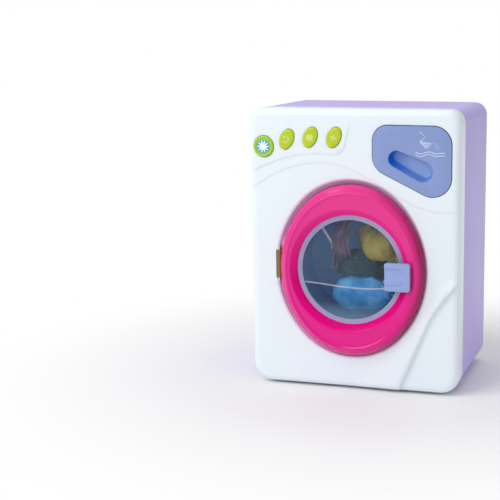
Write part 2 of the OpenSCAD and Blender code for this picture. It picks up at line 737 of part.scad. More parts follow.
module laundry_blue() color([0.25, 0.55, 0.80]) at_door() heap([4, drum_y + 12.5, -25.5], [34, 10, 18], 3, 40);
module laundry_teal() color([0.15, 0.25, 0.30]) at_door() heap([0, drum_y + 13, -1.4], [22, 10, 9], 4, 10);
module laundry_mustard() color([0.55, 0.50, 0.20]) at_door() heap([20.1, drum_y + 14, 17.9], [19, 11, 16], 3, 90);
module laundry_mauve() color([0.45, 0.36, 0.45]) at_door() heap([-13.6, drum_y + 13.95, 21.4], [11, 11, 19], 3, 200);

module gearbox_outline(i = 0) round_rect([box_left + i, box_right - i], [box_low + i, box_high - i], 6 - i);

module gearbox_plate() color(grey) difference() {
    slab(plate_y, plate_y + plate_t) gearbox_outline();
    rod(shaft_r + 2, plate_y - past, plate_y + plate_t + past, [door_x, door_z]);
    rod(axle_r + 0.02, plate_y - past, plate_y + plate_t + past, [idler_x, idler_z]);
    for (p = gearbox_posts) rod(screw_hole_r, plate_y - past, plate_y + plate_t + past, p);
}

module gearbox_cover() color(grey) difference() {
    union() {
        difference() {
            slab(plate_y + plate_t, cover_y) gearbox_outline();
            slab(plate_y + plate_t - past, cover_in_y) gearbox_outline(box_wall);
        }
        for (p = gearbox_posts) rod(post_r, plate_y + plate_t, cover_in_y + past, p);
    }
    rod(shaft_r + 2, cover_in_y - past, cover_y + past, [door_x, door_z]);
    rod(axle_r + 0.02, cover_in_y - past, cover_y + past, [idler_x, idler_z]);
    rod(3.1, cover_in_y - past, cover_y + past, [motor_x, motor_z]);
    for (p = gearbox_posts) rod(screw_hole_r, plate_y, cover_y + past, p);
}

module gearbox_screws() color(steel) for (p = gearbox_posts) {
    rod(head_r, plate_y - head_t, plate_y, p);
    rod(screw_r, plate_y - head_t / 2, cover_y + 11, p);
}

module idler_gear() color(nylon) translate([idler_x, 0, idler_z]) difference() {
    union() {
        slab(stage_1, stage_1 + gear_w + gap_y) gear_outline(small_teeth, idler_angle + 180 + 180 / small_teeth);
        slab(stage_2, stage_2 + gear_w) gear_outline(large_teeth, motor_angle);
        rod(axle_r + 2, plate_y + plate_t + 0.4, stage_1 + past);
        rod(axle_r + 2, stage_2, cover_in_y - 0.4);
    }
    rod(axle_r + run_fit, plate_y, cover_y);
}

module idler_axle() color(steel) rod(axle_r, plate_y, cover_y, [idler_x, idler_z]);

module motor_pinion() color(brass) translate([motor_x, 0, motor_z]) difference() {
    slab(stage_2, stage_2 + gear_w) gear_outline(pinion_teeth, motor_angle + 180 + 180 / pinion_teeth);
    rod(motor_shaft_r + 0.01, stage_2 - past, stage_2 + gear_w + past);
}

module motor_shaft() color(steel) rod(motor_shaft_r, stage_2 - 0.5, cover_y + 8, [motor_x, motor_z]);

module motor() color(grey) difference() {
    union() {
        intersection() {
            rod(motor_r, cover_y, cover_y + motor_l, [motor_x, motor_z]);
            block([motor_x - motor_r, motor_x + motor_r], [cover_y, cover_y + motor_l],
                around(motor_z, 0.77 * motor_r));
        }
        rod(3, cover_y - 1.5, cover_y + past, [motor_x, motor_z]);
    }
    rod(motor_shaft_r + run_fit, cover_y - 2, cover_y + 9, [motor_x, motor_z]);
}

module lamp_button() color([0.45, 0.80, 0.60]) {
    difference() {
        union() {
            rod(lamp_r, -panel_rise - button_rise, flange_y + flange_t, lamp_at);
            intersection() {
                rod(lamp_r + 1, flange_y, flange_y + flange_t, lamp_at);
                block([lamp_at[0] - 6.8, lamp_at[0] + 2 * lamp_r], [0, flange_y + 2 * flange_t], around(lamp_at[1], 2 * lamp_r));
            }
            rod(1.5, flange_y, stem_y, lamp_at + [2, -lamp_r + 1.6]);
        }
        rod(lamp_r - 3.2, 0, flange_y + flange_t + past, lamp_at);
    }
}

module oval_button(k) color(lime) lean_button(k) {
    slab(-panel_rise - button_rise, flange_y + flange_t) oval(button_oval);
    slab(flange_y, flange_y + flange_t) oval(button_oval, -flange_w);
    rod(stem_r, flange_y, stem_y);
}
module button_1() oval_button(0);
module button_2() oval_button(1);
module button_3() oval_button(2);

module circuit_board() color([0.12, 0.35, 0.20]) difference() {
    block(board_x, [board_y, board_y + board_t], board_z);
    for (p = board_posts) rod(1.1, board_y - past, board_y + board_t + past, p);
}

module board_screws() color(steel) for (p = board_posts) {
    rod(2, board_y + board_t, board_y + board_t + 1.2, p);
    rod(1, board_y - 5, board_y + board_t + 0.6, p);
}

module contact_switches() color(dark) for (p = concat(button_at, [lamp_at + [2, -lamp_r + 1.6]])) {
    block(around(p[0], 3), [board_y - 1.7, board_y], around(p[1], 3));
    rod(1.6, switch_y, board_y - 1.5, p);
}

module lamp_led() color([0.8, 0.9, 1]) {
    rod(2.5, board_y - 6, board_y, lamp_at);
    translate([lamp_at[0], board_y - 6, lamp_at[1]]) sphere(2.5);
}

module sound_chip() color(dark)
    block([left + 35, left + 49], [board_y + board_t, board_y + board_t + 1.8], [case_top - 36, case_top - 22]);

module dispenser_drawer() color(periwinkle) difference() {
    union() {
        slab(drawer_front_y, drawer_back_y) round_outline(drawer_corners);
        slab(drawer_front_y, tray_y) round_outline(hollow_ends, hollow_wall);
        difference() {
            block(tray_x, [drawer_back_y - past / 2, drawer_back_y + tray_l], tray_z);
            block(tray_x + tray_wall * [1, -1], [drawer_back_y, drawer_back_y + tray_l - tray_wall],
                [tray_z[0] + tray_wall, tray_z[1] + past]);
        }
    }
    slab(drawer_front_y - past, drawer_front_y + hollow_d) round_outline(hollow_ends);
}

module drawer_housing() color(white) difference() {
    union() {
        slab(housing_y, housing_y + housing_t) polygon(housing_flange);
        block(tray_x + (slide_gap + housing_t) * [-1, 1], [housing_y, housing_end_y],
            tray_z + (slide_gap + housing_t) * [-1, 1]);
    }
    block(tray_x + slide_gap * [-1, 1], [housing_y - past, housing_end_y - housing_t], tray_z + slide_gap * [-1, 1]);
    for (p = housing_posts) rod(1.1, housing_y - past, housing_y + housing_t + past, p);
}

module housing_screws() color(steel) for (p = housing_posts) {
    rod(2, housing_y + housing_t, housing_y + housing_t + 1.4, p);
    rod(1, housing_y - 5, housing_y + housing_t + 0.7, p);
}

module speaker() color(dark) {
    rod(speaker_r, rear_in_y - speaker_t, rear_in_y, speaker_at);
    rod(magnet_r, rear_in_y - speaker_t - magnet_t, rear_in_y - speaker_t + past, speaker_at);
}

module battery_box() color(grey) difference() {
    block([-bay_w / 2 - bay_wall, bay_w / 2 + bay_wall], [bay_y - bay_wall, rear_in_y],
        [bay_low - bay_wall, bay_low + bay_h + bay_wall]);
    difference() {
        block([-bay_w / 2, bay_w / 2], [bay_y, rear_in_y + past], [bay_low, bay_low + bay_h]);
        rod(3.4, bay_y - past, rear_in_y, [0, bay_low + bay_h - 3.6]);
    }
    rod(screw_hole_r, rear_in_y - 9, rear_in_y + past, [0, bay_low + bay_h - 3.6]);
}

module batteries() color([0.2, 0.2, 0.22]) for (z = cell_z) translate([-cell_l / 2, cell_y, z]) rotate([0, 90, 0]) {
    cylinder(r = cell_r, h = cell_l - 1);
    cylinder(r = 2.7, h = cell_l);
}

module battery_contacts() color(steel) for (z = cell_z, s = [-1, 1]) {
    block(s > 0 ? [bay_w / 2 - 0.5, bay_w / 2] : [-bay_w / 2, 0.5 - bay_w / 2], around(cell_y, 5), around(z, 5));
    translate([s * (cell_l / 2 + 0.1), cell_y, z]) rotate([0, s * 90, 0])
        cylinder(r1 = 2.2, r2 = 3.8, h = bay_w / 2 - 0.3 - cell_l / 2);
}

module battery_door() color(lavender) difference() {
    union() {
        slab(rear_in_y, rear_in_y + hatch_t) round_rect([hatch_gap - hatch_w / 2, hatch_w / 2 - hatch_gap],
            [hatch_low + hatch_gap, hatch_low + hatch_h - hatch_gap], 3 - hatch_gap);
        for (z = cell_z) block([-20, 20], [cell_y + cell_r + 0.2, rear_in_y + past], around(z, 1.5));
    }
    rod(screw_hole_r, rear_in_y - past, total_d, [0, bay_low + bay_h - 3.6]);
    rod(head_r + 0.2, rear_in_y + hatch_t - head_t + 0.4, total_d, [0, bay_low + bay_h - 3.6]);
}

module battery_screw() color(steel) {
    rod(head_r, rear_in_y + hatch_t - head_t + 0.4, rear_in_y + hatch_t, [0, bay_low + bay_h - 3.6]);
    rod(screw_r, rear_in_y - 8, rear_in_y + hatch_t - 0.5, [0, bay_low + bay_h - 3.6]);
}

set() front_shell();
set() rear_shell();
set() rubber_feet();
set() case_screws();
set() door_ring();
set() door_frame();
set() door_window();
set() door_handle();
set() door_hinge();
set() door_screws();
set() hinge_pin();
set() drum();
set() drum_shaft();
set() drum_gear();
set() drum_bush_front();
set() drum_bush_rear();
set() laundry_blue();
set() laundry_teal();
set() laundry_mustard();
set() laundry_mauve();
set() gearbox_plate();
set() gearbox_cover();
set() gearbox_screws();
set() idler_gear();
set() idler_axle();
set() motor_pinion();
set() motor_shaft();
set() motor();
set() lamp_button();
set() button_1();
set() button_2();
set() button_3();
set() circuit_board();
set() board_screws();
set() contact_switches();
set() lamp_led();
set() sound_chip();
set() dispenser_drawer();
set() drawer_housing();
set() housing_screws();
set() speaker();
set() battery_box();
set() batteries();
set() battery_contacts();
set() battery_door();
set() battery_screw();
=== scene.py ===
# Toy front-loading washing machine, 190 mm wide, 250 mm high, in moulded plastic.
import bpy
import bmesh
import json
import math
from mathutils import Matrix, Vector
from mathutils.geometry import delaunay_2d_cdt

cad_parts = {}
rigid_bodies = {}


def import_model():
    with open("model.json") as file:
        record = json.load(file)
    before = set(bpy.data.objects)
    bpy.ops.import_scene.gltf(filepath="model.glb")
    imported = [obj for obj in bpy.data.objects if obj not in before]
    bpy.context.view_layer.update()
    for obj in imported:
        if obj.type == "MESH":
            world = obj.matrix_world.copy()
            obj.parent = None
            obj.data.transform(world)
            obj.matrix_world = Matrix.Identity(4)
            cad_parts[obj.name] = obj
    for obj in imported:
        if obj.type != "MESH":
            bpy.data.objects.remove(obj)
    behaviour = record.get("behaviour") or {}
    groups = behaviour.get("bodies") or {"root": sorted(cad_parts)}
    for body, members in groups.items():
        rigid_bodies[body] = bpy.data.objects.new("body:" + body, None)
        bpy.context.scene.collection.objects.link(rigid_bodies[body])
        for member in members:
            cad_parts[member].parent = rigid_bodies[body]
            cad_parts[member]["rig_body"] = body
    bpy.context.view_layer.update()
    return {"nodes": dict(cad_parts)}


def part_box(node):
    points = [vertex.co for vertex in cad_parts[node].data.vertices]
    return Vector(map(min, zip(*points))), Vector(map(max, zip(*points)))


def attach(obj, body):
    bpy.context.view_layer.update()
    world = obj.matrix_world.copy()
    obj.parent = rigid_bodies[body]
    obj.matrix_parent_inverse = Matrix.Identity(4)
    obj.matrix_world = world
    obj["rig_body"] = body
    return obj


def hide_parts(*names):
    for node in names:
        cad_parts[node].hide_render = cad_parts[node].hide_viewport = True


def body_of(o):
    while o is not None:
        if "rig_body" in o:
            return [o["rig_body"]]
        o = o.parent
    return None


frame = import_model()
nodes = frame["nodes"]

# The studio. The toy stands on a pale table against white, under soft light from
# the upper left, and the camera looks down on its door from the front right.
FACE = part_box("rear_shell")[1][1] - 0.132


def place(x, depth, z):
    """A point from millimetres: across the face, behind the face, above the table."""
    return Vector((x / 1000, FACE + depth / 1000, z / 1000))


turn, tilt, roll = math.radians(16.12), math.radians(10.58), math.radians(-0.23)
back = Vector((math.sin(turn) * math.cos(tilt), -math.cos(turn) * math.cos(tilt), math.sin(tilt)))
level = (-back).cross(Vector((0, 0, 1))).normalized()
upright = level.cross(-back)
side = level * math.cos(roll) + upright * math.sin(roll)
top = upright * math.cos(roll) - level * math.sin(roll)
lens = bpy.data.cameras.new("camera")
lens.lens = 36 * 1181.61 / 500
lens.shift_x = (250 - 352.87) / 500
lens.shift_y = (252.44 - 250) / 500
camera = bpy.data.objects.new("camera", lens)
bpy.context.collection.objects.link(camera)
camera.matrix_world = Matrix.Translation(place(0, 0, 125) + back * 1.03342) @ Matrix(
    (side, top, back)).transposed().to_4x4()
bpy.context.scene.camera = camera


class Wire:
    """A value inside a material. Arithmetic on it adds Math nodes there."""

    def __init__(self, finish, socket):
        self.finish, self.socket = finish, socket

    def math(self, operation, *others):
        return self.finish.node("Math", {"operation": operation}, self, *others)

    def __add__(self, other):
        return self.math("ADD", other)

    def __sub__(self, other):
        return self.math("SUBTRACT", other)

    def __rsub__(self, other):
        return self.finish.node("Math", {"operation": "SUBTRACT"}, other, self)

    def __mul__(self, other):
        return self.math("MULTIPLY", other)

    def __truediv__(self, other):
        return self.math("DIVIDE", other)

    __radd__, __rmul__ = __add__, __mul__

    def length(self):
        return self.finish.node("VectorMath", {"operation": "LENGTH"}, self, out=1)

    def clamp(self):
        return self.finish.node("Math", {"operation": "ADD", "use_clamp": True}, self, 0.0)

    def other(self, name):
        return Wire(self.finish, self.socket.node.outputs[name])


class Finish:
    """A plastic, metal or cloth finish: one Principled shader and what feeds it."""

    def __init__(self, name, colour, roughness, **sockets):
        self.material = bpy.data.materials.new(name)
        self.material.use_nodes = True
        self.tree = self.material.node_tree
        self.shader = next(n for n in self.tree.nodes if n.type == "BSDF_PRINCIPLED")
        self.shader.inputs["Base Color"].default_value = (*colour, 1)
        self.shader.inputs["Roughness"].default_value = roughness
        for name, value in sockets.items():
            self.shader.inputs[name.replace("_", " ").title().replace("Ior", "IOR")].default_value = value

    def node(self, kind, settings, *values, out=0, **named):
        made = self.tree.nodes.new("ShaderNode" + kind)
        for name, value in settings.items():
            setattr(made, name, value)
        slots = [made.inputs[i] for i in range(len(values))]
        slots += [made.inputs[n.replace("_", " ")] for n in named]
        for slot, value in zip(slots, [*values, *named.values()]):
            if isinstance(value, Wire):
                self.tree.links.new(value.socket, slot)
            elif value is not None:
                slot.default_value = value
        return Wire(self, made.outputs[out])

    def surface(self):
        return Wire(self, self.shader.outputs[0])

    def show(self, wire):
        output = next(n for n in self.tree.nodes if n.type == "OUTPUT_MATERIAL")
        self.tree.links.new(wire.socket, output.inputs["Surface"])

    def feed(self, socket, wire):
        self.tree.links.new(wire.socket, self.shader.inputs[socket])
        return self

    def here(self):
        return self.node("TexCoord", {}, out=3)

    def noise(self, scale, detail=2.0, stretch=(1, 1, 1)):
        spot = self.node("Mapping", {}, self.here(), None, None, stretch)
        return self.node("TexNoise", {}, spot, Scale=scale, Detail=detail)

    def between(self, mask, one, other):
        return self.node("Mix", {"data_type": "RGBA"}, mask, None, None, None, None, None,
                         one if isinstance(one, Wire) else (*one, 1),
                         other if isinstance(other, Wire) else (*other, 1), out=2)

    def bump(self, height, strength, distance):
        raised = self.node("Bump", {}, Strength=strength, Distance=distance, Height=height)
        return self.feed("Normal", raised)


def moulded(name, colour, roughness, grain=0.12, tint=0.04, uneven=0.10, **sockets):
    """Moulded plastic: faint clouding in its colour, uneven gloss and a fine surface grain."""
    made = Finish(name, colour, roughness, **sockets)
    cloud = made.noise(14, 3)
    darker = [c * (1 - tint) for c in colour]
    made.feed("Base Color", made.between(cloud, colour, darker))
    made.feed("Roughness", made.noise(45, 2) * uneven + (roughness - uneven / 2))
    made.bump(made.noise(900, 2), grain, 0.0004)
    return made.material


def dress(material, *names):
    for name in names:
        nodes[name].data.materials.clear()
        nodes[name].data.materials.append(material)


def alone():
    if bpy.context.object and bpy.context.object.mode == "EDIT":
        bpy.ops.object.mode_set(mode="OBJECT")
    bpy.ops.object.select_all(action="DESELECT")


alone()
bpy.ops.mesh.primitive_plane_add(size=6, location=(0, 0, 0))
table = bpy.context.object
table.name = "table"
bpy.ops.object.mode_set(mode="EDIT")
bpy.ops.mesh.subdivide(number_cuts=1)
bpy.ops.object.mode_set(mode="OBJECT")
paper = Finish("white_table", (0.93, 0.93, 0.94), 0.6)
rays = paper.node("LightPath", {})
seen = rays.other("Is Camera Ray") + rays.other("Is Glossy Ray") + rays.other("Is Transmission Ray")
far = paper.node("Math", {"operation": "SMOOTH_MIN"}, paper.here().length() * 5.0 - 0.8, 1.0, 0.3)
blank = paper.node("Emission", {}, (1, 1, 1, 1), 1.0)
shown = paper.node("MixShader", {}, seen.clamp() * far.clamp(), paper.surface(), blank)
paper.show(shown)
table.data.materials.append(paper.material)

world = bpy.data.worlds.new("studio")
bpy.context.scene.world = world
world.use_nodes = True
sky = world.node_tree.nodes["Background"]
sky.inputs["Color"].default_value = (1, 1, 1, 1)
path = world.node_tree.nodes.new("ShaderNodeLightPath")
glow = world.node_tree.nodes.new("ShaderNodeMath")
glow.operation, glow.use_clamp = "MULTIPLY_ADD", True
glow.inputs[1].default_value = 0.46
glow.inputs[2].default_value = 0.54
world.node_tree.links.new(path.outputs["Is Camera Ray"], glow.inputs[0])
world.node_tree.links.new(glow.outputs[0], sky.inputs["Strength"])

for name, spot, size, power in (
        ("window_light", (-0.75, -0.95, 1.15), 1.1, 12.4),
        ("fill_light", (1.0, -0.9, 0.6), 1.2, 0.3),
        ("top_light", (0.1, 0.2, 1.4), 1.2, 2.9)):
    lamp = bpy.data.lights.new(name, "AREA")
    lamp.size = size
    lamp.energy = power
    bulb = bpy.data.objects.new(name, lamp)
    bulb.location = spot
    bulb.rotation_euler = (Vector((0, 0, 0.12)) - Vector(spot)).to_track_quat("-Z", "Y").to_euler()
    bpy.context.collection.objects.link(bulb)

bpy.context.scene.view_settings.view_transform = "Standard"


# Rear shell: one lavender moulding with air slots, a round speaker grille, screw
# wells and a battery hatch. The mould leaves a small radius on every corner.
def by_hand(piece):
    """Makes a piece the only selected and active object."""
    alone()
    piece.select_set(True)
    bpy.context.view_layer.objects.active = piece


def fitted(piece, name):
    """Puts a piece in the place of a CAD part, to move with the same body."""
    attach(piece, body_of(nodes[name])[0])
    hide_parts(name)


def softened(name, width, *materials, segments=2, sharp=32):
    """The moulded form of a CAD part, with its edges rounded as by the mould."""
    piece = nodes[name].copy()
    piece.data = nodes[name].data.copy()
    piece.name = "moulded_" + name
    bpy.context.collection.objects.link(piece)
    piece.parent = None
    piece.data.materials.clear()
    by_hand(piece)
    bpy.ops.object.mode_set(mode="EDIT")
    bpy.ops.mesh.select_all(action="SELECT")
    bpy.ops.mesh.remove_doubles(threshold=1e-6)
    bpy.ops.mesh.dissolve_limited(angle_limit=math.radians(0.4))
    bpy.ops.object.mode_set(mode="OBJECT")
    edge = piece.modifiers.new("edge", "BEVEL")
    edge.width, edge.segments, edge.limit_method = width / 1000, segments, "ANGLE"
    edge.angle_limit = math.radians(sharp)
    bpy.ops.object.modifier_apply(modifier="edge")
    bpy.ops.object.shade_smooth_by_angle(angle=math.radians(40))
    for material in materials:
        piece.data.materials.append(material)
    fitted(piece, name)
    return piece


lavender_plastic = moulded("lavender_plastic", (0.55, 0.475, 0.89), 0.42)
rear = softened("rear_shell", 0.35, lavender_plastic)


# Front shell: white plastic with a wide raised band, a lobe for the buttons and a
# swoosh at the lower right. The face is drawn over the CAD shell's openings and
# runs over its rounded edge, and the parts behind the face stay as they are.
def ease(t):
    t = min(1, max(0, t))
    return t * t * (3 - 2 * t)


def off_line(height, x, z, step=0.05):
    """Signed distance above a line z = height(x)."""
    slope = (height(x + step) - height(x - step)) / (2 * step)
    return (z - height(x)) / math.hypot(1, slope)


def band_line(x):
    return 202.7 - 19.9 * ((x + 30) / 57) ** 2 if x < -30 else 163 + 39.7 * (1 - ease((x + 24) / 102))


def lobe_line(x):
    return 211 - 15.3 * ((x + 30) / 58) ** 2


def swoosh_line(z):
    return 40.5 + 0.42 * z + (0.0063 * (z - 60) ** 2 if z > 60 else 0)


def relief(x, z):
    """How far the face stands out over its plane, in millimetres."""
    band = 0.6 * ease(off_line(band_line, x, z) / 1.5 + 0.5)
    under, beside = off_line(lobe_line, x, z), -5.9 + 0.24 * (z - 222) - x
    inside = 9 - math.hypot(max(0, 9 - under), max(0, 9 - beside)) if min(under, beside) < 9 else 9
    lobe = 0.75 * ease(inside / 1.5 + 0.5) * (1 - ease((z - 229) / 11))
    across = (swoosh_line(z) - x) / 1.1
    width = 42 * (1 - min(1, z / 112)) ** 2 + 9
    wave = 3.0 * (1 - ease(0.5 - across / 1.7)) * (1 - ease(across / width)) * (1 - ease((z - 97) / 9))
    return band + lobe + wave


def oval(shape, grow=0, at=(0, 0), lean=0):
    """The outline of four arcs from half width, half height and end radius."""
    half, tall, end = shape
    rise = tall - end
    shift = (rise ** 2 - (half - end) ** 2) / (2 * (half - end))
    turn, line = math.atan2(rise, shift), []
    for x, z, r, start, stop in ((-shift, 0, half + shift, -turn, turn),
                                 (0, rise, end, turn, math.pi - turn),
                                 (shift, 0, half + shift, math.pi - turn, math.pi + turn),
                                 (0, -rise, end, math.pi + turn, 2 * math.pi - turn)):
        steps = math.ceil(math.degrees(stop - start) / 5)
        for k in range(steps):
            t = start + (stop - start) * k / steps
            line.append((x + (r + grow) * math.cos(t), z + (r + grow) * math.sin(t)))
    c, s = math.cos(lean), math.sin(lean)
    return [(at[0] + c * x + s * z, at[1] - s * x + c * z) for x, z in line]


def round_it(r, at, steps=64):
    return [(at[0] + r * math.cos(2 * math.pi * k / steps), at[1] + r * math.sin(2 * math.pi * k / steps))
            for k in range(steps)]


def belt(circles, grow=0):
    """The outline round a few circles (x, z, r), as of a belt over pulleys."""
    count, line, leave = len(circles), [], []
    area = sum(p[0] * q[1] - p[1] * q[0] for p, q in zip(circles, circles[1:] + circles[:1]))
    way = -1 if area < 0 else 1
    for p, q in zip(circles, circles[1:] + circles[:1]):
        gap = math.hypot(q[0] - p[0], q[1] - p[1])
        leave.append(math.atan2(q[1] - p[1], q[0] - p[0]) - way * math.acos((p[2] - q[2]) / gap))
    for k, (x, z, r) in enumerate(circles):
        sweep = (way * (leave[k] - leave[k - 1])) % (2 * math.pi)
        steps = math.ceil(math.degrees(sweep) / 7)
        for j in range(steps + 1):
            t = leave[k - 1] + way * sweep * j / steps
            line.append((x + (r + grow) * math.cos(t), z + (r + grow) * math.sin(t)))
    return line


def within(x, z, line):
    hit = False
    for (ax, az), (bx, bz) in zip(line, line[1:] + line[:1]):
        if (az > z) != (bz > z) and x < (bx - ax) * (z - az) / (bz - az) + ax:
            hit = not hit
    return hit


def off_edge(x, z, line):
    """Distance from a point to a closed line."""
    best = 9.0
    for (ax, az), (bx, bz) in zip(line, line[1:] + line[:1]):
        dx, dz = bx - ax, bz - az
        t = min(1, max(0, ((x - ax) * dx + (z - az) * dz) / (dx * dx + dz * dz + 1e-12)))
        best = min(best, math.hypot(x - ax - t * dx, z - az - t * dz))
    return best


def pressed(outlines, open_lines, holes, grid, depth):
    """A sheet drawn in the plane of the face through all the given lines. Each hole
    is cut out, and depth(x, z) gives the sheet its form."""
    points, edges = [], []
    for line, closed in [(o, True) for o in outlines] + [(o, False) for o in open_lines]:
        first = len(points)
        points += [Vector(p) for p in line]
        edges += [(first + k, first + k + 1) for k in range(len(line) - 1)]
        if closed:
            edges.append((first + len(line) - 1, first))
    edge = outlines[0]
    (x0, x1), (z0, z1) = ((min(p[i] for p in edge), max(p[i] for p in edge)) for i in (0, 1))
    for i in range(int((x1 - x0) / grid) + 1):
        for k in range(int((z1 - z0) / grid) + 1):
            spot = (x0 + (i + 0.5 * (k % 2)) * grid, z0 + k * grid)
            if within(*spot, edge) and off_edge(*spot, edge) > 0.3:
                points.append(Vector(spot))
    flat, _, faces, _, _, _ = delaunay_2d_cdt(points, edges, [], 0, 1e-3)
    sheet = bmesh.new()
    dots = [sheet.verts.new(place(p[0], depth(p[0], p[1]), p[1])) for p in flat]
    for face in faces:
        middle = [sum(flat[i][axis] for i in face) / len(face) for axis in (0, 1)]
        if within(*middle, edge) and not any(within(*middle, hole) for hole in holes):
            sheet.faces.new([dots[i] for i in face])
    for dot in [d for d in sheet.verts if not d.link_faces]:
        sheet.verts.remove(dot)
    bmesh.ops.recalc_face_normals(sheet, faces=sheet.faces)
    if sum(f.normal.y * f.calc_area() for f in sheet.faces) > 0:
        bmesh.ops.reverse_faces(sheet, faces=sheet.faces)
    return sheet


def case_line(inset):
    """The outline of the case from the front, set in from its sides."""
    line = []
    for x, z, r, start in ((78, 19, 17, -90), (83, 238, 12, 0), (-83, 238, 12, 90), (-78, 19, 17, 180)):
        for k in range(13):
            t = math.radians(start + 7.5 * k)
            line.append((x + (r - inset) * math.cos(t), z + (r - inset) * math.sin(t)))
    finer = []
    for (ax, az), (bx, bz) in zip(line, line[1:] + line[:1]):
        parts = math.ceil(math.hypot(bx - ax, bz - az) / 6)
        finer += [(ax + (bx - ax) * k / parts, az + (bz - az) * k / parts) for k in range(parts)]
    return finer


DOOR = (-2, 109.5)
recess_oval = (68, 79, 61)
button_spots = ((-59.2, 222.9), (-37.8, 224.9), (-16.3, 225.2))
button_oval = (6, 9.2, 4.6)
lamp_spot = (-80.8, 216.2)
hinge_slot = (-71.2, -64.6, 98.8, 124.2)
drawer_circles = [(31.1, 223.3, 13), (34.5, 210, 16.4), (70.5, 192.7, 16.5), (71, 220.2, 16)]
lean = math.radians(25)


def holes_in_face(grow):
    """The outlines of the openings in the face, each with its running gap."""
    left, right, low, high = hinge_slot
    hinge_cut = [(left - grow, low - grow), (right, low - grow),
                 (right, high + grow), (left - grow, high + grow)]
    door, drawer = oval(recess_oval, grow, DOOR), belt(drawer_circles, 0.5 + grow)
    buttons = [oval(button_oval, 0.3 + grow, spot, lean) for spot in button_spots]
    return [door, drawer, round_it(9.5 + grow, lamp_spot), hinge_cut] + buttons


hole_lines = holes_in_face(0)


def rolled(x, z, full=2):
    """How far the front edge has come forward, of the 8 mm to the face, for a round
    edge, or a fuller one. Outside the case it goes back along the side."""
    inset = min(95 - abs(x), z - 2, 250 - z)
    for cx, cz, r in ((78, 19, 17), (-78, 19, 17), (83, 238, 12), (-83, 238, 12)):
        if (x - cx) * cx > 0 and (z - cz) * (cz - 120) > 0:
            inset = r - math.hypot(x - cx, z - cz)
    return 8 * (1 - (1 - min(1, inset / 8)) ** full) ** (1 / full) if inset > 0 else 30 * inset


def face_depth(x, z):
    near = min(off_edge(x, z, line) for line in hole_lines)
    lip = 0.45 * (1 - math.sqrt(max(0, 1 - (1 - near / 0.8) ** 2))) if near < 0.8 else 0
    near = off_edge(x, z, hole_lines[0])
    lip = 1.15 * (1 - near / 2.2) ** 1.6 if near < 2.2 else lip
    forward = rolled(x, z, 2.6)
    return 8 - forward - relief(x, z) * max(0, forward) / 8 + lip


creases = []
for step in (-0.9, -0.45, 0, 0.45, 0.9):
    across = [-94.5 + 3 * k for k in range(64)]
    slopes = [(band_line(x + 0.1) - band_line(x - 0.1)) / 0.2 for x in across]
    creases.append([(x, band_line(x) + step * math.hypot(1, slope)) for x, slope in zip(across, slopes)])
    below = [(x, lobe_line(x) - step) for x in [-94.5 + 3 * k for k in range(27)]]
    corner = [(-16 + (9 + step) * math.sin(math.radians(t)), 218.8 - (9 + step) * math.cos(math.radians(t)))
              for t in range(6, 80, 8)]
    creases.append(below + corner + [(-5.9 + 0.24 * (z - 222) + step, z) for z in range(219, 243, 3)])
    creases.append([(swoosh_line(z) + step, z) for z in [2.5 + 3 * k for k in range(34)]])
rolls = [case_line(inset) for inset in (-0.03, 0, 0.04, 0.15, 0.4, 0.8, 1.4, 2.2, 3.2, 4.6, 6.2, 8)]
outlines = rolls + holes_in_face(0) + holes_in_face(0.25) + holes_in_face(0.8)
outlines += [oval(recess_oval, grow, DOOR) for grow in (1.3, 1.8, 2.2)]
creases = [[p for p in line if within(*p, rolls[0])] for line in creases]
sheet = pressed(outlines, creases, hole_lines, 5, face_depth)

shell = nodes["front_shell"].copy()
shell.data = nodes["front_shell"].data.copy()
shell.name = "moulded_front_shell"
bpy.context.collection.objects.link(shell)
shell.parent = None
shell.data.materials.clear()
by_hand(shell)
bpy.ops.object.mode_set(mode="EDIT")
bpy.ops.mesh.select_all(action="SELECT")
bpy.ops.mesh.remove_doubles(threshold=1e-6)
bpy.ops.mesh.select_all(action="DESELECT")
bpy.ops.mesh.select_mode(type="FACE")
mesh = bmesh.from_edit_mesh(shell.data)


def in_mm(point):
    return point.x * 1000, (point.y - FACE) * 1000, point.z * 1000


def set_material(piece, *materials, where=None):
    """Gives a piece its materials; where(x, depth, z) numbers the one for a face."""
    piece.data.materials.clear()
    for material in materials:
        piece.data.materials.append(material)
    if where:
        for face in piece.data.polygons:
            face.material_index = int(where(*in_mm(face.center)))


def on_face(point):
    """Whether a point of the CAD shell lies on its face or rounded front edge."""
    x, y, z = in_mm(point)
    return y < 8.01 - rolled(x, z)


for face in mesh.faces:
    face.select = all(on_face(v.co) for v in face.verts)
bpy.ops.mesh.delete(type="FACE")
mesh = bmesh.from_edit_mesh(shell.data)
for dot in mesh.verts:
    x, y, z = in_mm(dot.co)
    if y < 0.3 and rolled(x, z) > 3.8:
        dot.co = place(x, face_depth(x, z) + 0.01, z)
bmesh.update_edit_mesh(shell.data)
bpy.ops.object.mode_set(mode="OBJECT")
skin = bpy.data.meshes.new("front_face")
sheet.to_mesh(skin)
sheet.free()
face_piece = bpy.data.objects.new("front_face", skin)
bpy.context.collection.objects.link(face_piece)
by_hand(shell)
face_piece.select_set(True)
bpy.ops.object.join()
bpy.ops.object.shade_smooth_by_angle(angle=math.radians(38))
recess = oval(recess_oval, 2.2, DOOR)
white_plastic = moulded("white_plastic", (0.85, 0.925, 0.99), 0.30, 0.04, 0.008, 0.04)
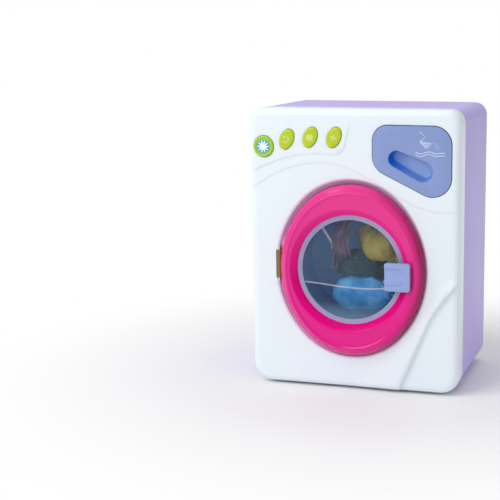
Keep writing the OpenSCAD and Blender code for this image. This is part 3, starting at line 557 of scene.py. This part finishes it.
# Painted reflection: the recess lip and floor are tinted pink, more so deeper down and near the ring, as a
# reflection of the pink ring. The tint is also painted lighter than the shade that falls there.
painted_recess_reflection = Finish("recess_painted_reflection", (0.9, 0.9, 0.9), 0.35)
spot = painted_recess_reflection.node("SeparateXYZ", {}, painted_recess_reflection.here())
sunk = (spot.other("Y") * 1000 - FACE * 1000) / 1.1
wide = (spot.other("X") * 1000 - DOOR[0]) / 68.0
high = (spot.other("Z") * 1000 - DOOR[1]) / 79.0
rim = (wide * wide + high * high - 0.82) * 10.0
tint = painted_recess_reflection.between(sunk.clamp() * rim.clamp(), (0.85, 0.92, 0.99), (0.98, 0.64, 0.95))
painted_recess_reflection.feed("Base Color", tint)
set_material(shell, white_plastic, painted_recess_reflection.material,
             where=lambda x, y, z: -1 < y < 3.1 and within(x, z, recess))
fitted(shell, "front_shell")


# Door ring: a pink oval moulding, screwed to the frame behind it. Its edge is
# drawn back in a wide flank, and its face falls to a magenta bevel round the window.
def lofted(name, loops, front=False, rear=False):
    """A skin through loops of points, drawn out loop by loop from a circle."""
    alone()
    bpy.ops.mesh.primitive_circle_add(vertices=len(loops[0]), radius=0.05)
    piece = bpy.context.object
    piece.name = name
    bpy.ops.object.mode_set(mode="EDIT")
    bpy.ops.mesh.select_mode(type="VERT")
    bpy.ops.mesh.select_all(action="SELECT")
    for k, loop in enumerate(loops):
        if k:
            bpy.ops.mesh.extrude_region_move()
        mesh = bmesh.from_edit_mesh(piece.data)
        for dot, spot in zip([v for v in mesh.verts if v.select], loop):
            dot.co = spot
    bmesh.update_edit_mesh(piece.data)
    if front:
        bpy.ops.mesh.edge_face_add()
    if rear:
        bpy.ops.mesh.select_all(action="DESELECT")
        mesh = bmesh.from_edit_mesh(piece.data)
        mesh.verts.ensure_lookup_table()
        for dot in mesh.verts[:len(loops[0])]:
            dot.select = True
        mesh.select_flush_mode()
        bmesh.update_edit_mesh(piece.data)
        bpy.ops.mesh.edge_face_add()
    bpy.ops.mesh.select_all(action="SELECT")
    bpy.ops.mesh.remove_doubles(threshold=1e-6)
    bpy.ops.mesh.normals_make_consistent(inside=False)
    bpy.ops.object.mode_set(mode="OBJECT")
    bpy.ops.object.shade_smooth_by_angle(angle=math.radians(40))
    bpy.ops.object.transform_apply()
    return piece


door_oval = (65.4, 76, 57.5)
ring_at = (-1.1, 108.8)


def ring_loop(depth, inset=0, blend=0, r=48.5):
    """A loop between the ring's own oval, set in, and a circle of radius r."""
    loop = []
    for x, z in oval(door_oval, -inset, ring_at):
        far = math.hypot(x - DOOR[0], z - DOOR[1])
        loop.append(place((1 - blend) * x + blend * (DOOR[0] + r * (x - DOOR[0]) / far), depth,
                          (1 - blend) * z + blend * (DOOR[1] + r * (z - DOOR[1]) / far)))
    return loop


flank = ((1, 0.5), (0.6, 0), (-0.8, 0), (-2.2, 0.3), (-3.7, 1.0), (-5.2, 2.1), (-6.3, 3.5), (-7.2, 4.7),
         (-7.9, 5.4), (-8.5, 5.9), (-8.86, 6.4), (-8.98, 6.95), (-8.86, 7.5), (-8.5, 8.0),
         (-8.2, 8.4), (-8.0, 9.0))
bevel = ((-7.95, 9, 0.35, 54.6), (-7.8, 9, 0.75, 54.6), (-7.7, 0, 1, 54.6), (-7.5, 0, 1, 54.1),
         (-4.6, 0, 1, 51.3), (-2.2, 0, 1, 49), (-1.6, 0, 1, 48.6), (-1.52, 0, 1, 48.5))
underside = ((-1.52, 3.6), (1, 3.6), (1, 0.5))
ring = lofted("pink_ring", [ring_loop(*step) for step in flank + bevel + underside])
pink = Finish("pink_plastic", (0.83, 0.01, 0.26), 0.15, specular_ior_level=0.35)
# Painted light: the pink is made lighter towards the top, where the bright sky is reflected.
rise = (pink.node("SeparateXYZ", {}, pink.here()).other("Z") * 1000 - 60) / 120.0
painted_light_and_shade = pink.between(rise.clamp(), (0.80, 0.004, 0.25), (0.84, 0.04, 0.29))
# Painted shade: the drawn-back flank is darkened to a deep magenta towards the right side, away from the
# light.
spot = pink.node("SeparateXYZ", {}, pink.here())
sideways, behind = spot.other("X") * 1000 - 10, spot.other("Y") * 1000 - (FACE * 1000 - 7.6)
painted_flank_shade = (sideways / 50.0).clamp() * (behind / 3.0).clamp()
painted_light_and_shade = pink.between(painted_flank_shade, painted_light_and_shade, (0.33, 0.0, 0.07))
pink.feed("Base Color", pink.between(pink.noise(14, 3) * 0.3, painted_light_and_shade, (0.70, 0.003, 0.24)))
pink.feed("Roughness", pink.noise(45, 2) * 0.08 + 0.12)
pink.bump(pink.noise(900, 2), 0.04, 0.0004)
magenta = Finish("magenta_bevel", (0.78, 0.0, 0.21), 0.25, specular_ior_level=0.05)
# Painted light: the magenta bevel is also made lighter towards the top.
rise = (magenta.node("SeparateXYZ", {}, magenta.here()).other("Z") * 1000 - 95) / 60.0
magenta.feed("Base Color", magenta.between(rise.clamp(), (0.80, 0.002, 0.22), (0.92, 0.035, 0.30)))
magenta.bump(magenta.noise(900, 2), 0.04, 0.0004)
set_material(ring, pink.material, magenta.material,
             where=lambda x, y, z: math.hypot(x - DOOR[0], z - DOOR[1]) < 54.2 and y < -1.55)
fitted(ring, "door_ring")

# Door frame: the lavender inner frame, whose rim shows round the window. It
# carries the catch and the hinge leaf and is drawn into the ring by four screws.
softened("door_frame", 0.3, moulded("frame_plastic", (0.35, 0.335, 0.54), 0.35))


# Window: a clear pane, thicker in its upper half. The step down to the lower
# half runs across it in a slow wave.
def ledge(x):
    return 95.0 - 1.9 * math.cos((x - 7) * 0.0523)


def pane_depth(x, z):
    return -0.9 + 1.0 * ease((ledge(x) - z) / 1.0 + 0.5)


steps = [[(x, ledge(x) + up) for x in [-44 + 2 * k for k in range(43)]] for up in (-0.5, -0.2, 0.2, 0.5)]
window_rim = round_it(44.15, DOOR, 96)
steps = [[p for p in line if within(*p, window_rim)] for line in steps]
pane_sheet = pressed([window_rim], steps, [], 6, pane_depth)
pane_mesh = bpy.data.meshes.new("window_pane")
pane_sheet.to_mesh(pane_mesh)
pane_sheet.free()
window = bpy.data.objects.new("window_pane", pane_mesh)
bpy.context.collection.objects.link(window)
by_hand(window)
thick = window.modifiers.new("thick", "SOLIDIFY")
thick.thickness, thick.offset = 0.0009, -1
bpy.ops.object.modifier_apply(modifier="thick")
bpy.ops.object.shade_smooth_by_angle(angle=math.radians(35))
clear = Finish("smoky_pane", (0.60, 0.66, 0.74), 0.07)
spot = clear.node("SeparateXYZ", {}, clear.here())
x_mm, z_mm = spot.other("X") * 1000, spot.other("Z") * 1000
wave = clear.node("Math", {"operation": "COSINE"}, (x_mm - 7) * 0.0523) * -1.9 + 95.0
off = z_mm - wave
# Painted highlight: a pinkish white line along the ledge, more opaque than the rest of the pane.
line = clear.node("Math", {"operation": "SUBTRACT", "use_clamp": True}, 1.0, (off * off) * 1.1)
upper = clear.node("Math", {"operation": "ADD", "use_clamp": True}, off * 0.5, 0.5)
# Painted reflection: the pane is bluer and less clear towards its lower rim.
low = ((80 - z_mm) / 14.0).clamp()
clear.feed("Alpha", (upper * clear.noise(30, 2) * 0.04 + 0.025 + low * 0.16 + line * 0.45).clamp())
glass_and_painted_reflection = clear.between(low, (0.42, 0.55, 0.70), (0.30, 0.62, 0.95))
clear.feed("Base Color", clear.between(line, glass_and_painted_reflection, (0.85, 0.76, 0.84)))
set_material(window, clear.material)
fitted(window, "door_window")

# Handle: a pale blue plate with a D-shaped hollow for the thumb, on a neck that
# goes through the ring to the frame. Its upper right corner keeps its place, and
# the other edges come in a little towards it.
pale_plastic = moulded("pale_blue_plastic", (0.30, 0.40, 0.73), 0.28, grain=0.05)
handle = softened("door_handle", 0.55, pale_plastic, segments=3)
plate_right, plate_top, plate_back = 54, 119.5, -9
for dot in handle.data.vertices:
    x, y, z = in_mm(dot.co)
    if y < plate_back:
        dot.co = place(plate_right - (plate_right - x) * 0.94, y, plate_top - (plate_top - z) * 0.91)

# Hinge: an olive barrel and leaf on a steel pin, staked to the frame.
olive_plastic = moulded("olive_plastic", (0.25, 0.18, 0.02), 0.4)
softened("door_hinge", 0.2, olive_plastic)


def metal(name, colour, roughness, streak=(1, 1, 1), scratch=0.1):
    """Bare metal with fine drawn streaks in its gloss."""
    made = Finish(name, colour, roughness, metallic=1.0)
    lines = made.noise(700, 3, streak)
    made.feed("Roughness", lines * 0.2 + (roughness - 0.1))
    made.feed("Base Color", made.between(made.noise(60, 2), colour, [c * 0.85 for c in colour]))
    made.bump(lines, scratch, 0.0002)
    return made.material


steel = metal("zinc_steel", (0.62, 0.63, 0.65), 0.32)
bright_steel = metal("bright_steel", (0.70, 0.71, 0.73), 0.22, (1, 12, 1))
dress(bright_steel, "hinge_pin")
dress(steel, "door_screws")

# Drum: a slate-blue plastic drum with two lifter fins, on a steel shaft.
slate = Finish("slate_plastic", (0.09, 0.135, 0.21), 0.38)
slate.feed("Base Color", slate.between(slate.noise(22, 3), (0.18, 0.44, 0.78), (0.32, 0.60, 0.92)))
slate.feed("Roughness", slate.noise(60, 2) * 0.15 + 0.3)
holes = slate.node("TexVoronoi", {"feature": "F1"}, slate.here(), Scale=110.0, Randomness=0.0)
pits = slate.node("Math", {"operation": "MULTIPLY", "use_clamp": True}, holes.other("Distance") - 0.16, 9.0)
slate.bump(pits, 0.5, 0.0006)
drum = softened("drum", 0.25, slate.material, moulded("fin_edge_painted_highlight", (0.72, 0.77, 0.88), 0.3))
# Painted highlight: the front edges of the two fins get a pale finish.
for face in drum.data.polygons:
    x, y, z = in_mm(face.center)
    x, z = x - DOOR[0], z - DOOR[1]
    for angle in (math.radians(123), math.radians(303)):
        out = x * math.cos(angle) + z * math.sin(angle)
        side = z * math.cos(angle) - x * math.sin(angle) - 11.2
        if y < 26.6 and 24 < out < 58 and (0.45 < abs(side) < 1.1 or (out < 26.5 and -1.1 < side < 3.1)):
            face.material_index = 1
dress(bright_steel, "drum_shaft")


# Laundry: four bits of cloth in the drum. Each is let fall on a rounded heap, at
# twenty times its size, and stays as it comes to rest, with folds at its edges.
def cloth_finish(name, colour, light, thread=420, hem=None):
    """Woven cloth, worn paler in patches; hem is a row of v, how far it bows, and colour."""
    made = Finish(name, colour, 0.85)
    weave = made.node("TexWave", {"bands_direction": "X"}, made.here(), Scale=thread, Distortion=0.6)
    across = made.node("TexWave", {"bands_direction": "Z"}, made.here(), Scale=thread, Distortion=0.6)
    worn = made.between(((made.noise(70, 3) - 0.42) * 4.0).clamp(), colour, light)
    if hem:
        along = made.node("SeparateXYZ", {}, made.node("UVMap", {}))
        u, v = along.other("X") - 0.5, along.other("Y")
        row = v - hem[0] - u * u * hem[1]
        worn = made.between((1.5 - row * row * 1500.0).clamp(), worn, hem[2])
    made.feed("Base Color", worn)
    made.bump(weave.other("Fac") + across.other("Fac"), 0.35, 0.0004)
    return made.material


def let_fall(node, flat, finish, turned, seed, pleat, shrink=-0.08):
    """A sheet that has come down from the front, in loose pleats that run at the
    angle pleat, on the heap it stands for."""
    low, high = (Vector(corner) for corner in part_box(node))
    centre, scale = (low + high) / 2, 20
    heap = bpy.data.objects.new("heap", nodes[node].data.copy())
    for dot in heap.data.vertices:
        dot.co = (dot.co - centre) * scale * 0.92
    bpy.context.collection.objects.link(heap)
    heap.modifiers.new("bump", "COLLISION")
    heap.collision.thickness_outer = 0.012
    heap.collision.cloth_friction = 14
    alone()
    bpy.ops.mesh.primitive_grid_add(x_subdivisions=46, y_subdivisions=38, size=1)
    cloth = bpy.context.object
    cloth.name = "cloth_" + node
    front = (low.y - centre.y) * scale - 0.08
    c, s = math.cos(turned), math.sin(turned)
    for dot in cloth.data.vertices:
        u, v = dot.co.x * flat[0] * scale, dot.co.y * flat[1] * scale
        off = u * math.sin(pleat) - v * math.cos(pleat)
        ripple = 0.030 * math.sin(31 * off + seed + 0.8 * math.sin(5 * u + 4 * v))
        u, v = u - 0.15 * off * math.sin(pleat), v + 0.15 * off * math.cos(pleat)
        dot.co = (c * u - s * v, front + ripple, s * u + c * v)
    fabric = cloth.modifiers.new("fabric", "CLOTH")
    fabric.settings.quality = 6
    fabric.settings.mass = 0.15
    fabric.settings.tension_stiffness = fabric.settings.compression_stiffness = 8
    fabric.settings.bending_stiffness = 0.05
    fabric.settings.shrink_min = shrink
    fabric.settings.air_damping = 2
    fabric.collision_settings.distance_min = 0.01
    fabric.collision_settings.use_self_collision = True
    fabric.collision_settings.self_distance_min = 0.012
    bpy.context.scene.gravity = (0, 9.8, 0)
    for step in range(1, 34):
        bpy.context.scene.frame_set(step)
    by_hand(cloth)
    bpy.ops.object.modifier_apply(modifier="fabric")
    for dot in cloth.data.vertices:
        dot.co = dot.co / scale + centre
    wall = cloth.modifiers.new("wall", "SOLIDIFY")
    wall.thickness = 0.0005
    bpy.ops.object.modifier_apply(modifier="wall")
    finer = cloth.modifiers.new("finer", "SUBSURF")
    finer.levels = finer.render_levels = 1
    bpy.ops.object.modifier_apply(modifier="finer")
    bpy.ops.object.shade_smooth()
    bpy.data.objects.remove(heap)
    bpy.context.scene.frame_set(1)
    set_material(cloth, finish)
    fitted(cloth, node)
    return cloth


blue_cloth = cloth_finish("blue_cloth", (0.015, 0.22, 0.58), (0.12, 0.42, 0.72),
                          hem=(0.27, 0.5, (0.0, 0.50, 0.85)))
let_fall("laundry_blue", (0.084, 0.060), blue_cloth, 0.05, 1, 0.25)
teal_cloth = cloth_finish("teal_cloth", (0.004, 0.03, 0.045), (0.015, 0.07, 0.085))
let_fall("laundry_teal", (0.058, 0.036), teal_cloth, 0.1, 2, -0.3)
mustard_cloth = cloth_finish("mustard_cloth", (0.34, 0.27, 0.03), (0.46, 0.38, 0.07))
let_fall("laundry_mustard", (0.054, 0.052), mustard_cloth, 0.3, 3, 1.1)
mauve_cloth = cloth_finish("mauve_cloth", (0.12, 0.085, 0.14), (0.20, 0.14, 0.20))
let_fall("laundry_mauve", (0.040, 0.058), mauve_cloth, -0.1, 4, 1.5)

# Gear train behind the drum: two bronze bushes in a grey plate and cover, a nylon
# drum gear and idler, and a brass pinion on the shaft of the motor.
nylon = moulded("nylon", (0.72, 0.70, 0.60), 0.4)
grey_plastic = moulded("grey_plastic", (0.30, 0.31, 0.33), 0.5)
brass = metal("brass", (0.75, 0.55, 0.20), 0.25)
dress(nylon, "drum_gear", "idler_gear")
dress(brass, "drum_bush_front", "drum_bush_rear", "motor_pinion")
dress(grey_plastic, "gearbox_plate", "gearbox_cover")
dress(steel, "gearbox_screws")
dress(bright_steel, "idler_axle", "motor_shaft")
dress(metal("motor_can", (0.55, 0.56, 0.58), 0.3, (1, 1, 10)), "motor")

# Oval buttons: three lime caps with a domed top, each with a small raised sign:
# a shirt, a swirl and a sparkle.
lime_plastic = moulded("lime_plastic", (0.52, 0.66, 0.004), 0.22, grain=0.04)
pale_lime = moulded("pale_lime", (0.90, 0.93, 0.50), 0.3)


def wires(name, strokes, r, spot, depth, turned, material):
    """Raised lines: strokes of points in millimetres, sunk half way in a surface."""
    curve = bpy.data.curves.new(name, "CURVE")
    curve.dimensions = "3D"
    curve.bevel_depth, curve.bevel_resolution, curve.use_fill_caps = r / 1000, 2, True
    c, s = math.cos(turned), math.sin(turned)
    for stroke in strokes:
        spline = curve.splines.new("POLY")
        spline.points.add(len(stroke) - 1)
        for point, (u, v) in zip(spline.points, stroke):
            point.co = (*place(spot[0] + c * u + s * v, depth, spot[1] - s * u + c * v), 1)
    piece = bpy.data.objects.new(name, curve)
    bpy.context.collection.objects.link(piece)
    by_hand(piece)
    bpy.ops.object.convert(target="MESH")
    piece = bpy.context.object
    bpy.ops.object.shade_smooth()
    set_material(piece, material)
    return piece


shirt = [[(-1.2, 2.6), (-2.9, 1.3), (-2.1, 0.1), (-1.4, 0.6), (-1.4, -2.8), (1.4, -2.8), (1.4, 0.6),
          (2.1, 0.1),
          (2.9, 1.3), (1.2, 2.6), (0.6, 2.0), (-0.6, 2.0), (-1.2, 2.6)]]
swirl = [[((0.3 + 0.17 * k) * math.cos(0.5 * k + half), (0.3 + 0.17 * k) * 1.15 * math.sin(0.5 * k + half))
          for k in range(16)] for half in (0, math.pi)]
sparkle = [[(0.8 * math.cos(t), 0.8 * math.sin(t)), (r * math.cos(t), r * math.sin(t))]
           for t, r in [(math.pi * k / 4, 3.1 if k % 2 == 0 else 1.9) for k in range(8)]]
for k, (spot, sign) in enumerate(zip(button_spots, (shirt, swirl, sparkle)), 1):
    profile = [(0, 2), (0, -1.9), (0.12, -2.3), (0.45, -2.55), (1.1, -2.75), (2.2, -2.88),
               (3.4, -2.95), (4.2, -2.97)]
    button = lofted(f"button_cap_{k}", [[place(x, y, z) for x, z in oval(button_oval, -inset, spot, lean)]
                                        for inset, y in profile], front=True, rear=True)
    set_material(button, lime_plastic)
    fitted(button, f"button_{k}")
    raised = wires(f"button_sign_{k}", sign, 0.36, spot, -2.93, lean, pale_lime)
    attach(raised, f"button_{k}")

# Lamp button: a lime rim round a clear lens, under which a lamp lights a star.
rim = ((9.2, 2), (9.2, -2), (9.05, -2.45), (8.7, -2.7), (8.2, -2.8), (7.4, -2.75), (6.9, -2.55),
       (6.7, -2.2), (6.7, 1))
lamp_rim = lofted("lamp_rim", [[place(x, y, z) for x, z in round_it(r, lamp_spot)] for r, y in rim])
set_material(lamp_rim, moulded("green_plastic", (0.42, 0.64, 0.03), 0.22, grain=0.04))
fitted(lamp_rim, "lamp_button")
star = Finish("lamp_lens", (0.1, 0.6, 0.8), 0.12)
local = star.node("Mapping", {}, star.here(), [-v for v in place(lamp_spot[0], 0, lamp_spot[1])])
flat_spot = star.node("SeparateXYZ", {}, local)
x_in, z_in = flat_spot.other("X") * 1000, flat_spot.other("Z") * 1000
reach = star.node("Math", {"operation": "SQRT"}, x_in * x_in + z_in * z_in)
angle = star.node("Math", {"operation": "ARCTAN2"}, z_in, x_in)
rays = star.node("Math", {"operation": "COSINE"}, angle * 10) * 0.5 + 0.5
core = ((rays * 2.9 + 3.2 - reach) * 0.55).clamp()
edge = ((reach - 5.0) * 0.6).clamp()
round_star = star.between(edge, (0.02, 0.34, 0.55), (0.30, 0.60, 0.16))
glow_colour = star.between(core, round_star, (0.90, 0.97, 1.0))
star.feed("Base Color", glow_colour)
star.feed("Emission Color", glow_colour)
star.shader.inputs["Emission Strength"].default_value = 0.12
lens_cap = lofted("lamp_lens_cap", [[place(x, y, z) for x, z in round_it(r, lamp_spot)] for r, y in (
    (6.7, 0), (6.7, -1.9), (6.2, -2.2), (5, -2.5), (3.2, -2.7), (1.2, -2.78))], front=True, rear=True)
set_material(lens_cap, star.material)
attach(lens_cap, "lamp_button")

# Control board: green board, black switches under the buttons, a sound chip and
# the lamp, held by four screws to the shell.
dress(moulded("board_green", (0.02, 0.14, 0.06), 0.4), "circuit_board")
black_plastic = moulded("black_plastic", (0.02, 0.02, 0.022), 0.4)
dress(black_plastic, "contact_switches", "sound_chip")
dress(moulded("lamp_clear", (0.75, 0.85, 0.95), 0.1), "lamp_led")
dress(steel, "board_screws")

# Dispenser drawer: a periwinkle front with a deep finger hollow and a tray behind it.
# Painted shade darkens the hollow to a dark blue, and the edges in the gap to navy.
periwinkle = moulded("periwinkle_plastic", (0.255, 0.345, 0.655), 0.27, grain=0.05)
gap_painted_shade = moulded("drawer_edge_painted_shade", (0.03, 0.07, 0.28), 0.4)
# Painted shade: the hollow's walls and left end are dark blue, and its floor grows lighter to the right.
shade = Finish("hollow_painted_shade", (0.2, 0.3, 0.6), 0.3)
inside = shade.node("SeparateXYZ", {}, shade.here())
along = ((inside.other("X") * 1000 - 34) / 18.0).clamp()
floor = ((inside.other("Y") * 1000 - (FACE * 1000 + 4.2)) / 1.0).clamp()
wall_painted_shade = shade.between(along, (0.0, 0.10, 0.55), (0.10, 0.22, 0.62))
floor_painted_shade = shade.between(along, (0.10, 0.22, 0.62), (0.30, 0.41, 0.73))
shade.feed("Base Color", shade.between(floor, wall_painted_shade, floor_painted_shade))
drawer = softened("dispenser_drawer", 0.35, periwinkle, gap_painted_shade)
front_line = belt(drawer_circles, -0.4)
# Painted shade: the sides of the drawer front, down in the gap, are painted dark navy.
for face in drawer.data.polygons:
    x, y, z = in_mm(face.center)
    if -0.6 < y < 1.9 and abs(face.normal.y) < 0.3 and not within(x, z, front_line):
        face.material_index = 1
ends = [(39, 208, 7.2), (62, 197.5, 9)]
pocket = ((0.1, -0.5, 0), (-0.25, -0.1, 0.1), (-0.5, 0.7, 0.3), (-1.7, 4.0, 1.2), (-2.2, 4.8, 1.5),
          (-3.2, 5.2, 1.7))
hollow = lofted("drawer_hollow", [[place(x + over, y, z + over) for x, z in belt(ends, grow)]
                                  for grow, y, over in pocket], front=True)
wall = hollow.modifiers.new("wall", "SOLIDIFY")
wall.thickness, wall.offset = 0.0006, 0
bpy.ops.object.modifier_apply(modifier="wall")
set_material(hollow, shade.material)
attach(hollow, "drawer")
cup = [[(-6.2, 8.6), (-2.0, 5.0), (-5.8, 1.6)], [(-5.8, 1.4), (3.0, 0.9), (-1.2, -3.4), (-5.8, 1.4)],
       [(-4.9, 0.5), (2.2, 0.2)], [(-3.8, -0.6), (1.2, -0.8)], [(-2.8, -1.7), (0.2, -1.9)]]
powder = [[(4.0 + 1.3 * i + 0.9 * j, 0.6 - 1.2 * j), (4.3 + 1.3 * i + 0.9 * j, 0.2 - 1.2 * j)]
          for j in range(4) for i in range(1 + (j > 0))]
water = [[(x, base + 0.8 * math.sin(x * 0.55 + 1.2) * max(0.0, 1 - max(0, x - 4) / 6))
          for x in range(-9, 13)]
         for base in (-6.2, -8.0)]
sign = [[(1.22 * x, 1.22 * z) for x, z in stroke] for stroke in cup + powder + water]
pale_print = moulded("pale_print", (0.62, 0.73, 0.96), 0.4)
sign = wires("drawer_sign", sign, 0.46, (66.8, 221.3), -0.92, 0, pale_print)
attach(sign, "drawer")
dress(white_plastic, "drawer_housing")
dress(steel, "housing_screws")

# Speaker, batteries and their box, feet and screws.
paper_cone = moulded("speaker_black", (0.03, 0.03, 0.032), 0.7)
dress(paper_cone, "speaker")
dress(grey_plastic, "battery_box")
dress(moulded("cell_wrap", (0.06, 0.07, 0.09), 0.35), "batteries")
dress(bright_steel, "battery_contacts")
softened("battery_door", 0.3, lavender_plastic)
dress(steel, "battery_screw", "case_screws")
dress(moulded("rubber", (0.025, 0.025, 0.028), 0.75, grain=0.3), "rubber_feet")
